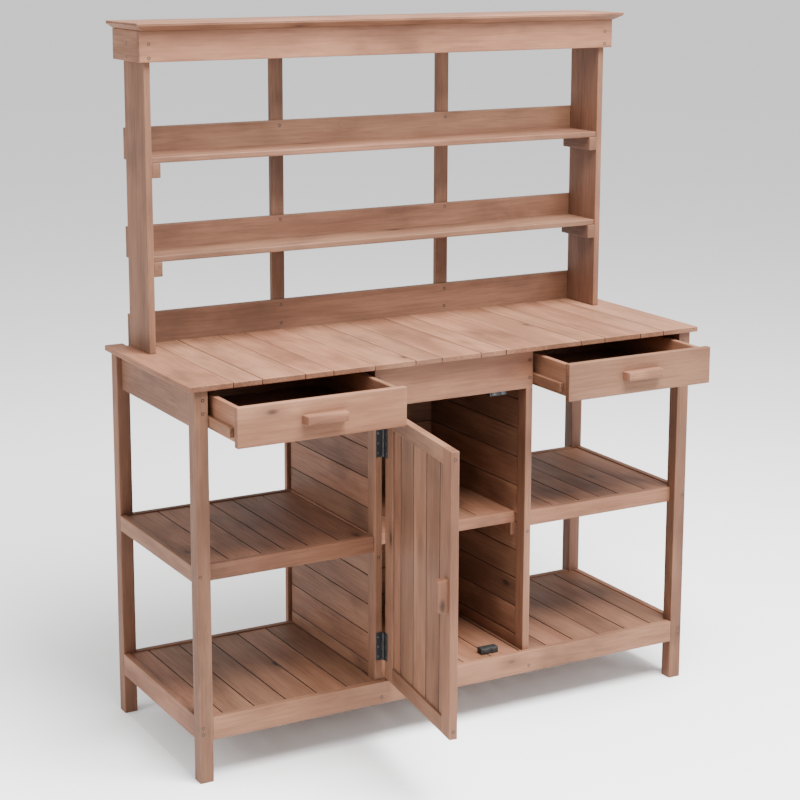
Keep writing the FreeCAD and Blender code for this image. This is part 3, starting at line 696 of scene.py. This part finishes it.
class BENCH_OT_shelves(bpy.types.Operator):
    """Build the bottom shelf and the two side shelves with their rails"""
    bl_idname = "bench.shelves"
    bl_label = "Shelves of the base"

    def execute(self, context):
        sizes = context.scene.bench_boards
        seat = context.scene.bench_wood.seat
        row = box_of("bottom_shelf")
        rows = cut(row, X, fill(row, X, sizes.first_board, sizes.shelf_board), sizes.shelf_gap)
        timber("bottom_shelf", [boards(rows, 300, seat, grain=Y, joint=X)], "_boards")
        for side, name in ((-1, "left"), (1, "right")):
            self.side_shelf(sizes, seat, side, name)
            self.side_rails(sizes, side, name)
        return {"FINISHED"}

    def side_shelf(self, sizes, seat, side, name):
        row = box_of("mid_shelf_" + name)
        wide = sizes.side_board
        narrow = (row[1] - row[0] - 4 * wide) / 2
        rows = cut(row, X, [wide, wide, narrow, narrow, wide, wide], sizes.shelf_gap)
        timber("mid_shelf_" + name, [boards(rows, 310 + side, seat, grain=Y, joint=X)], "_boards")

    def side_rails(self, sizes, side, name):
        # A box's outer face is its low one on the left and its high one on the right.
        outer = 0 if side < 0 else 1
        inner = 1 - outer
        shelf = box_of("mid_shelf_" + name)
        row = box_of("mid_frame_" + name)
        leg = box_of("leg_front_" + name)
        post = box_of("cabinet_post_" + name)
        back_leg = box_of("leg_back_" + name)
        leg_face = leg[inner]
        post_face = post[outer]
        wall_face = box_of("cabinet_side_" + name)[outer]

        def between(first, second):
            return span(row, X, min(first, second), max(first, second))

        under = span(between(post_face, shelf[outer]), Z, shelf[4] - sizes.batten, shelf[4])
        rows = np.stack([
            span(between(leg_face, post_face), Y, high=shelf[2]),
            span(between(leg_face, wall_face), Y, low=shelf[3]),
            span(between(row[outer], row[outer] - side * sizes.rail), Y, leg[3], back_leg[2]),
            span(between(post_face, wall_face), Y, post[3], shelf[3]),
            span(under, Y, shelf[2], shelf[2] + sizes.batten),
            span(under, Y, shelf[3] - sizes.batten, shelf[3]),
        ])
        timber("mid_frame_" + name, [boards(rows, 320 + side)], "_rails")


class BENCH_OT_cupboard(bpy.types.Operator):
    """Build the cupboard's walls, back and shelf"""
    bl_idname = "bench.cupboard"
    bl_label = "Cupboard"

    def execute(self, context):
        sizes = context.scene.bench_boards
        pitch = sizes.wall_board
        for index, node in enumerate(("cabinet_side_left", "cabinet_side_right", "cabinet_back")):
            row = box_of(node)
            widths = [sizes.wall_line - row[4], pitch, pitch, pitch, pitch]
            above = span(row, Z, low=row[4] + sum(widths))
            widths += list(fill(above, Z, sizes.wall_narrow, pitch))
            grain = X if node == "cabinet_back" else Y
            rows = cut(row, Z, widths, sizes.wall_gap)
            timber(node, [boards(rows, 400 + index, grain=grain, joint=Z)], "_boards")
        row = box_of("cabinet_shelf")
        front = row[2] + sizes.strip
        top = span(span(row, Y, low=front), Z, low=row[5] - sizes.shelf)
        rows = cut(top, X, [(row[1] - row[0]) / 4] * 4)
        strip = span(row, Y, high=front)
        timber("cabinet_shelf", [boards(rows, 410, grain=Y, joint=X), boards(strip, 411)], "_boards")
        cleats = box_of("cabinet_shelf_cleats")
        nose = span(span(cleats, Y, high=front), Z, high=row[4])
        rows = np.concatenate([ends(span(cleats, Y, low=front), X, sizes.thin_cleat),
                               ends(nose, X, sizes.thin_cleat)])
        timber("cabinet_shelf_cleats", [boards(rows, 412, grain=Y)])
        return {"FINISHED"}


def handle_levels(near, foot, first, second, slopes, ease):
    """
    Levels of a bar handle from its face back to its foot: two spans shrink towards the face, each
    by its own slope times how close the level is to the face, and by the eased rim of the face.
    """
    depth = foot - near
    levels = []
    for place, inset in ((0.0, ease), (ease * 0.4, ease * 0.3), (ease, 0.0), (depth, 0.0)):
        inner = [slope * (1 - place / depth) + inset for slope in slopes]
        levels.append((near + place, first[0] + inner[0], first[1] - inner[0],
                       second[0] + inner[1], second[1] - inner[1]))
    return levels


class BENCH_OT_hutch(bpy.types.Operator):
    """Build the hutch: uprights, slats, rails, shelves, aprons and cap"""
    bl_idname = "bench.hutch"
    bl_label = "Hutch"

    def execute(self, context):
        sizes = context.scene.bench_boards
        # Painted shade: the hutch's uprights, rails, shelves and slats get dark tones, for the shade that the
        # cap and shelves cast on them.
        shades = (0.0, 0.4)
        seed = 500
        for node in ("hutch_upright_left", "hutch_upright_right", "hutch_rail_lower", "hutch_rail_middle",
                     "hutch_rail_upper", "hutch_shelf_lower", "hutch_shelf_upper"):
            seed += 1
            timber(node, [boards(box_of(node), seed, inner=14, shades=shades)])
        slats = ends(box_of("hutch_slats"), X, sizes.slat)
        timber("hutch_slats", [boards(slats, 510, inner=14, shades=shades)])
        cleats = box_of("hutch_shelf_cleats")
        parts = []
        for index, name in enumerate(("lower", "upper")):
            shelf = box_of("hutch_shelf_" + name)
            level = span(cleats, Z, shelf[4] - sizes.tall_cleat, shelf[4])
            # Painted shade: the cleats under the shelves get darker tones still.
            parts.append(boards(ends(level, X, sizes.cleat), 520 + index, shades=(0.0, 0.3)))
        timber("hutch_shelf_cleats", parts)
        aprons = box_of("hutch_aprons")
        upright = box_of("hutch_upright_left")
        front = span(aprons, Y, high=upright[2])
        sides = ends(span(aprons, Y, low=upright[2]), X, upright[0] - aprons[0])
        rows = np.concatenate([front[None], sides])
        timber("hutch_aprons", [boards(rows, 530, inner=14, shades=(0.6, 0.8))])
        self.cap(sizes, context.scene.bench_wood.edge)
        return {"FINISHED"}

    def cap(self, sizes, ease):
        left, right, front, back, low, high = box_of("hutch_cap")
        rise = sizes.rise
        top = high - low
        # Height above the cap's lower face, how far its rim is set in there, and its back face.
        heights = np.array([0, 0.6 * ease, 3 * ease, rise - 2 * ease, rise - ease, rise, rise + ease,
                            rise + 3 * ease, top - 3 * ease, top - ease, top - 0.3 * ease, top])
        slope = np.interp(heights, [0.6 * ease, rise - ease], [sizes.bevel - 0.6 * ease, 1.5 * ease])
        inset = np.where(heights < rise, slope, 0.0)
        inset[[0, 5, 10, 11]] = sizes.bevel + ease, 0.3 * ease, 0.3 * ease, ease
        behind = np.zeros(len(heights))
        behind[[0, 10, 11]] = ease, 0.3 * ease, ease
        levels = np.stack([low + heights, left + inset, right - inset, front + inset, back - behind], axis=1)
        timber("hutch_cap", [stack(levels, Z, ease, 540, shade=0.5)], "_board")


class BENCH_OT_drawers(bpy.types.Operator):
    """Build both drawers: front, box, base, runners and handle"""
    bl_idname = "bench.drawers"
    bl_label = "Drawers"

    def execute(self, context):
        sizes = context.scene.bench_boards
        ease = context.scene.bench_wood.edge
        slopes = (0.0, context.scene.bench_door.bar_slope)
        for index, body in enumerate(("left_drawer", "right_drawer")):
            seed = 600 + index * 20
            timber(body + "_front", [boards(box_of(body + "_front"), seed, inner=14)], "_board", body)
            row = box_of(body + "_box")
            back = span(row, Y, low=row[3] - sizes.shelf)
            back = span(back, X, row[0] + sizes.shelf, row[1] - sizes.shelf)
            rows = np.concatenate([ends(row, X, sizes.shelf), back[None]])
            timber(body + "_box", [boards(rows, seed + 1)], "_boards", body)
            timber(body + "_base", [boards(box_of(body + "_base"), seed + 2, grain=X)], "_board", body)
            runners = ends(box_of(body + "_runners"), X, sizes.runner)
            piece(body + "_runner_strips", [boards(runners, seed + 3)], body, material("bench_wood"),
                  [body + "_runners"])
            bar = box_of(body + "_handle")
            levels = handle_levels(bar[2], bar[3], bar[4:6], bar[0:2], slopes, ease)
            timber(body + "_handle", [stack(levels, Y, ease, seed + 4)], "_bar", body)
        return {"FINISHED"}


class BENCH_OT_door(bpy.types.Operator):
    """Build the door: stiles, rails, grooved boards and handle"""
    bl_idname = "bench.door"
    bl_label = "Door"

    def execute(self, context):
        door = context.scene.bench_door
        leaf = np.repeat(origin(), 2) + np.array([
            -door.half, door.half, door.front, door.front + door.thickness, door.bottom, door.top])
        stiles = ends(leaf, X, door.stile)
        middle = span(leaf, X, leaf[0] + door.stile, leaf[1] - door.stile)
        rails = ends(middle, Z, door.rail)
        parts = [swing(boards(stiles, 700, inner=14), door), swing(boards(rails, 701), door)]
        timber("door_frame", parts, body="door")
        face = leaf[2] + door.recess
        foot = face + door.board
        field = span(span(middle, Z, middle[4] + door.rail, middle[5] - door.rail), Y, face, foot)
        rows = cut(field, X, fill(field, X, door.first, door.pitch), door.groove)
        # A thinner board behind the grooves closes the gaps between the boards.
        backing = span(field, Y, face + door.groove_depth, foot - door.groove_depth)
        parts = [swing(boards(rows, 702, inner=14, grain=Z, joint=X), door),
                 swing(boards(backing, 703, grain=Z), door)]
        piece("door_board_field", parts, "door", material("bench_wood"), ["door_boards"])
        self.handle(door, leaf, context.scene.bench_wood.edge)
        return {"FINISHED"}

    def handle(self, door, leaf, ease):
        centre = leaf[1] - door.stile / 2
        across = (centre - door.bar_width / 2, centre + door.bar_width / 2)
        height = (door.bar_low, door.bar_high)
        # Z comes before X here, because a stack along Y lists its other two axes in that order.
        levels = handle_levels(leaf[2] - door.bar_reach, leaf[2], height, across, (door.bar_slope, 0.0), ease)
        timber("door_handle", [swing(stack(levels, Y, ease, 704, grain_axis=Z), door)], "_bar", "door")


# Edge radius and reach of wear of the small parts.
LEAF_EDGE, LEAF_WEAR = 0.0005, 0.002
CASE_EDGE, CASE_WEAR = 0.001, 0.003
FINE_EDGE, FINE_WEAR = 0.0003, 0.001
PLATE_EDGE = 0.0002

# Outline of a hinge screw's domed head: distance from its axis, height over the leaf.
DOME = ((0.0026, -0.0002), (0.0026, 0.0001), (0.0022, 0.0006), (0.0012, 0.00078), (0.0004, 0.0008))

# Rows of wood screws: distance from the middle, distance behind the worktop's front edge, the way
# that the heads face (sideways, backwards) and their heights. Each is there on both sides.
FORWARD, BACKWARD, OUTWARD = (0, -1), (0, 1), (1, 0)
SCREWS = (
    (0.6155, 0.010, FORWARD, (0.809, 0.837)),
    (0.6155, 0.4748, BACKWARD, (0.809, 0.837)),
    (0.6275, 0.010, FORWARD, (0.110, 0.1245, 0.4595)),
    (0.6275, 0.4748, BACKWARD, (0.110, 0.1245, 0.4595)),
    (0.635, 0.0175, OUTWARD, (0.1195,)),
    (0.635, 0.4535, OUTWARD, (0.1195,)),
    (0.635, 0.034, OUTWARD, (0.463,)),
    (0.635, 0.456, OUTWARD, (0.463,)),
    (0.19525, 0.025, FORWARD, (0.793, 0.833, 0.430)),
    (0.19525, 0.010, FORWARD, (0.110,)),
    (0.2215, 0.448, FORWARD, (0.884, 0.927, 1.129, 1.346)),
    (0.5915, 0.319, FORWARD, (1.517, 1.547)),
    (0.613, 0.393, OUTWARD, (1.517, 1.547)),
)
DOOR_SCREWS = (0.167, 0.745)


def pin_outline(low, high, radius):
    """Outline of a hinge pin with rounded ends: distance from its axis, height."""
    ease = radius * 0.4
    slope = radius * 0.13
    return [(ease, low), (radius, low + slope), (radius, high - slope), (ease, high)]


def knuckle_outline(low, high, radius):
    """Outline of a knuckle: a barrel whose rims are bevelled and whose ends leave room for the pin."""
    bevel = 0.0004
    rim = radius - 0.0003
    bore = 0.0020
    return [(bore, low), (rim, low), (radius, low + bevel), (radius, high - bevel), (rim, high), (bore, high)]


def screw_outline(radius):
    """Outline of a sunk screw head: a low rim at the wood, falling towards the middle."""
    return [(radius, -0.0004), (radius, 0.0001), (radius * 0.87, 0.00015), (radius * 0.74, 0.00005),
            (radius * 0.13, -0.0001)]


class BENCH_OT_hardware(bpy.types.Operator):
    """Build the hinges, the magnetic catches and all screw heads"""
    bl_idname = "bench.hardware"
    bl_label = "Hinges, catches and screws"

    def execute(self, context):
        door = context.scene.bench_door
        sizes = context.scene.bench_hardware
        self.hinges(door, sizes)
        self.catches(door, sizes)
        self.screws(door, sizes)
        return {"FINISHED"}

    def hinges(self, door, sizes):
        black = material("bench_black_steel")
        grey = material("bench_grey_steel")
        fixed, moving, heads, door_heads, pins = [], [], [], [], []
        for centre in (sizes.hinge_low, sizes.hinge_high):
            self.leaves(door, sizes, centre, fixed, moving)
            low, high = centre - sizes.leaf_length / 2, centre + sizes.leaf_length / 2
            pins.append(lathe(pin_line(door), (0, 0, 1), pin_outline(low, high, sizes.pin)))
            for step in (-1, 0, 1):
                height = centre + step * sizes.hole_step
                heads.append(self.dome(door, sizes, -sizes.hole_reach, height))
                door_heads.append(swing(self.dome(door, sizes, sizes.hole_reach, height), door))
        piece("hinge_post_leaves", fixed, "bench", black, ["hinge_leaves_post"])
        piece("hinge_pin_rods", pins, "bench", black, ["hinge_pins"])
        piece("hinge_door_leaves", moving, "door", black, ["hinge_leaves_door"])
        piece("hinge_post_screws", heads, "bench", grey)
        piece("hinge_door_screws", door_heads, "door", grey)

    def leaves(self, door, sizes, centre, fixed, moving):
        """Both leaves of one hinge. Of its three knuckles, the middle one is the door leaf's."""
        pin = pin_line(door)
        face = origin()[Y] + door.front
        low, high = centre - sizes.leaf_length / 2, centre + sizes.leaf_length / 2
        leaf = np.array([pin[X] + sizes.leaf_near, pin[X] + sizes.leaf_far, face - sizes.leaf_thickness, face,
                         low, high])
        fixed.append(blocks(span(leaf, X, pin[X] - sizes.leaf_far, pin[X] - sizes.leaf_near), LEAF_EDGE,
                            LEAF_WEAR, 800, grain=Z))
        moving.append(swing(blocks(leaf, LEAF_EDGE, LEAF_WEAR, 801, grain=Z), door))
        third = sizes.leaf_length / 3
        for index in range(3):
            bottom = low + index * third + sizes.knuckle_gap
            top = low + (index + 1) * third - sizes.knuckle_gap
            knuckle = lathe(pin, (0, 0, 1), knuckle_outline(bottom, top, sizes.knuckle))
            root = span(leaf, Z, bottom, top)
            if index == 1:
                root = span(root, X, pin[X], pin[X] + sizes.leaf_root)
                moving.append(swing(join([knuckle, blocks(root, FINE_EDGE, FINE_WEAR, 802, grain=Z)]), door))
            else:
                root = span(root, X, pin[X] - sizes.leaf_root, pin[X])
                fixed += [knuckle, blocks(root, FINE_EDGE, FINE_WEAR, 803, grain=Z)]

    def dome(self, door, sizes, reach, height):
        """One domed screw head on a hinge leaf, facing forward."""
        face = origin()[Y] + door.front - sizes.leaf_thickness
        return lathe((pin_line(door)[X] + reach, face, height), (0, -1, 0), DOME, 20)

    def catches(self, door, sizes):
        plastic = material("bench_black_plastic")
        silver = material("bench_silver")
        half = sizes.catch_width / 2
        front = origin()[Y] + door.front + door.thickness + sizes.catch_gap
        both = box_of("door_catches")
        cases, poles, plates = [], [], []
        for middle, low in ((both[0] + half, both[4]), (both[1] - half, both[5] - sizes.catch_height)):
            high = low + sizes.catch_height
            case = np.array([middle - half, middle + half, front + sizes.catch_gap, front + sizes.catch_depth,
                             low, high])
            cases.append(blocks(case, CASE_EDGE, CASE_WEAR, 810))
            pole = span(case, Y, front, front + 2 * sizes.catch_gap)
            pole = span(pole, Z, low + sizes.inset, high - sizes.inset)
            for side in (-1, 1):
                centre = middle + side * sizes.pole_reach
                pole = span(pole, X, centre - sizes.pole_width / 2, centre + sizes.pole_width / 2)
                poles.append(blocks(pole, FINE_EDGE, FINE_WEAR, 811))
            plate = span(case, X, middle - half + sizes.inset, middle + half - sizes.inset)
            plate = span(plate, Y, front - sizes.catch_gap, front - sizes.catch_gap / 3)
            plate = span(plate, Z, max(low, door.bottom) + sizes.inset, min(high, door.top) - sizes.inset)
            plates.append(swing(blocks(plate, PLATE_EDGE, FINE_WEAR, 812), door))
        piece("catch_cases", cases, "bench", plastic, ["door_catches"])
        piece("catch_poles", poles, "bench", silver)
        piece("catch_plates", plates, "door", silver, ["door_strikes"])

    def screws(self, door, sizes):
        dark = material("bench_screw")
        head = screw_outline(sizes.screw)
        start = origin()
        heads = [lathe(start + np.array([side * across, depth, height]), (side * way[0], way[1], 0), head, 20)
                 for across, depth, way, heights in SCREWS for height in heights for side in (-1, 1)]
        piece("frame_screw_heads", heads, "bench", dark, ["frame_screws"])
        heads = []
        for side in (-1, 1):
            for height in DOOR_SCREWS:
                place = start + np.array([side * door.half, door.front + door.thickness / 2, height])
                heads.append(swing(lathe(place, (side, 0, 0), head, 20), door))
        piece("door_screw_heads", heads, "door", dark, ["door_screws"])


class BENCH_OT_stage(bpy.types.Operator):
    """Set up the floor, the lights and the camera"""
    bl_idname = "bench.stage"
    bl_label = "Stage"

    def execute(self, context):
        stage = context.scene.bench_stage
        mesh = bpy.data.meshes.new("floor")
        reach = 60.0
        mesh.from_pydata([(-reach, -reach, 0), (reach, -reach, 0), (reach, reach, 0), (-reach, reach, 0)], [],
                         [(0, 1, 2, 3)])
        floor = bpy.data.objects.new("floor", mesh)
        context.scene.collection.objects.link(floor)
        n = Nodes("bench_floor")
        spots = n.noise(n.add("TexCoord").outputs["Object"], 1.5, 2.0)
        grey = n.mix(spots, (0.93, 0.93, 0.93), (0.96, 0.96, 0.96))
        mesh.materials.append(n.surface(grey, 0.9))
        world = bpy.data.worlds.new("bench_sky")
        world.use_nodes = True
        world.node_tree.nodes["Background"].inputs[0].default_value = (1.0, 1.0, 1.0, 1.0)
        world.node_tree.nodes["Background"].inputs[1].default_value = stage.sky
        context.scene.world = world
        self.light("key", (0.3, -1.3, 3.8), stage.key, 2.2)
        self.light("fill", (2.4, -3.2, 1.6), stage.fill, 1.6)
        self.light("side", (-3.0, 0.1, 1.5), stage.side, 1.5)
        camera_data = bpy.data.cameras.new("camera")
        camera_data.lens = stage.lens
        camera_data.shift_x = stage.shift_x
        camera_data.shift_y = stage.shift_y
        camera_data.clip_end = 100.0
        camera = bpy.data.objects.new("camera", camera_data)
        camera.location = stage.place
        camera.rotation_euler = (math.pi / 2 - stage.elevation, 0.0, stage.azimuth)
        context.scene.collection.objects.link(camera)
        context.scene.camera = camera
        return {"FINISHED"}

    def light(self, name, place, power, size):
        data = bpy.data.lights.new(name, "AREA")
        data.energy = power
        data.size = size
        lamp = bpy.data.objects.new(name, data)
        lamp.location = place
        toward = Vector((0.0, 0.0, 0.7)) - lamp.location
        lamp.rotation_euler = toward.to_track_quat("-Z", "Y").to_euler()
        bpy.context.scene.collection.objects.link(lamp)


# ---- add-on

OPERATORS = (BENCH_OT_paints, BENCH_OT_frame, BENCH_OT_worktop, BENCH_OT_shelves, BENCH_OT_cupboard,
             BENCH_OT_hutch, BENCH_OT_drawers, BENCH_OT_door, BENCH_OT_hardware, BENCH_OT_stage)
GROUPS = (("bench_wood", BenchWood), ("bench_boards", BenchBoards), ("bench_door", BenchDoor),
          ("bench_hardware", BenchHardware), ("bench_stage", BenchStage))


class BENCH_PT_panel(bpy.types.Panel):
    """Lists the bench's operators and sizes"""
    bl_idname = "BENCH_PT_panel"
    bl_label = "Potting bench"
    bl_space_type = "VIEW_3D"
    bl_region_type = "UI"
    bl_category = "Bench"

    def draw(self, context):
        layout = self.layout
        for operator in OPERATORS:
            layout.operator(operator.bl_idname)
        for name, group in GROUPS:
            settings = getattr(context.scene, name)
            for key in group.__annotations__:
                layout.prop(settings, key)


def register():
    for name, group in GROUPS:
        bpy.utils.register_class(group)
        setattr(bpy.types.Scene, name, PointerProperty(type=group))
    for operator in OPERATORS:
        bpy.utils.register_class(operator)
    bpy.utils.register_class(BENCH_PT_panel)


def unregister():
    bpy.utils.unregister_class(BENCH_PT_panel)
    for operator in reversed(OPERATORS):
        bpy.utils.unregister_class(operator)
    for name, group in reversed(GROUPS):
        delattr(bpy.types.Scene, name)
        bpy.utils.unregister_class(group)


def main():
    """Build the whole bench in order."""
    register()
    for operator in OPERATORS:
        group, name = operator.bl_idname.split(".")
        getattr(getattr(bpy.ops, group), name)()


if __name__ == "__main__":
    main()
